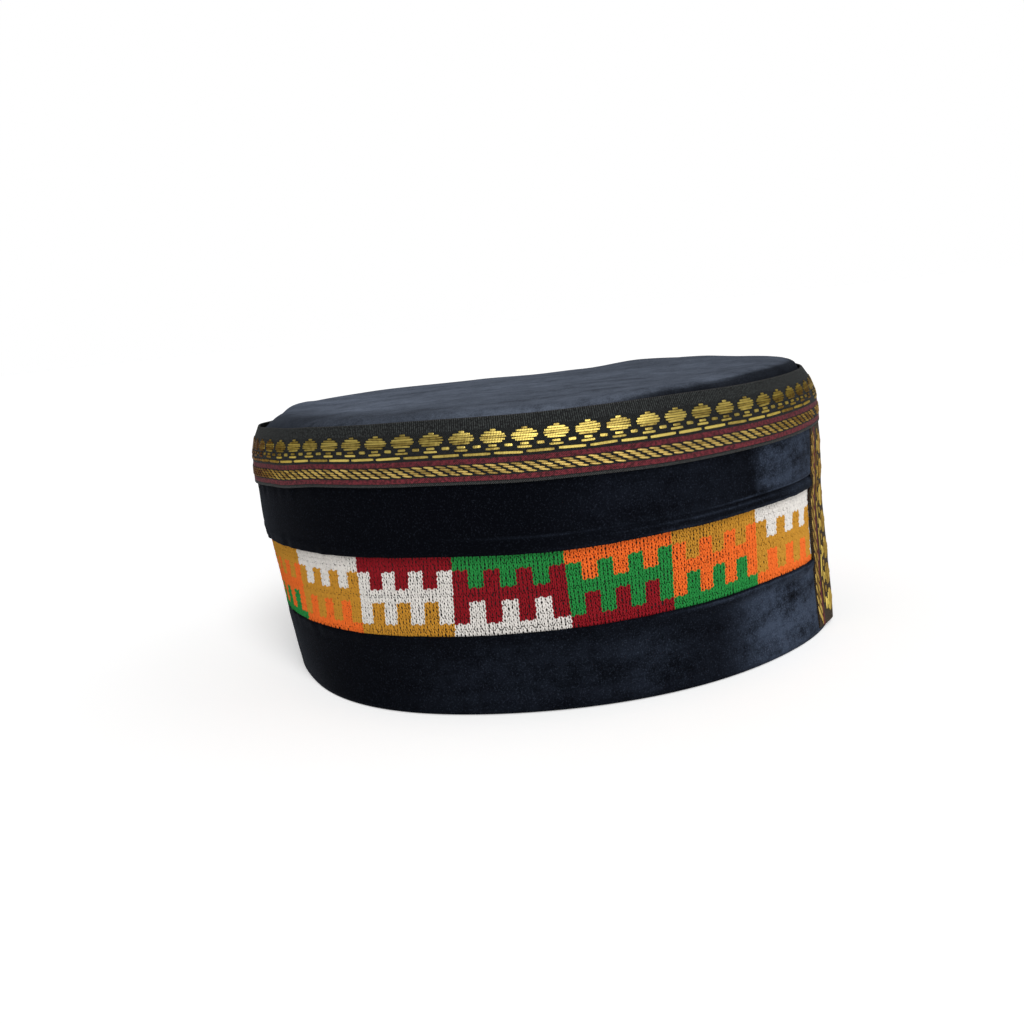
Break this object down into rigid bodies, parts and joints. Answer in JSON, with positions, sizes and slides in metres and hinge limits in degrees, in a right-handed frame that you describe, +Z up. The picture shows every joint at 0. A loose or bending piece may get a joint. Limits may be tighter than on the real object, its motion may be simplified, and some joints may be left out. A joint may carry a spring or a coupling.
{
  "type": "skullcap",
  "caption": "Round flat-topped velvet skullcap with an embroidered band round the wall, a woven gold ribbon at the top edge and down the back seam, and an open hollow for the head.",
  "frame": {"origin": "centre of the cap's bounding box in plan, on the plane that the rim stands on", "axes": "+Z up through the crown, -Y towards the front, +Y towards the back seam"},
  "size_m": [0.195, 0.1966, 0.0883],
  "materials": {
    "velvet": "blue-black cotton velvet with a short brushed nap",
    "embroidery": "dense stitches in gold, white, maroon, green and orange thread",
    "ribbon": "black and maroon woven ribbon with raised gold thread"
  },
  "bodies": {
    "root": {"crown": "velvet", "upper_band": "velvet", "embroidered_band": "embroidery", "lower_band": "velvet", "rim_ribbon": "ribbon", "seam_ribbon": "ribbon"}
  },
  "joints": []
}
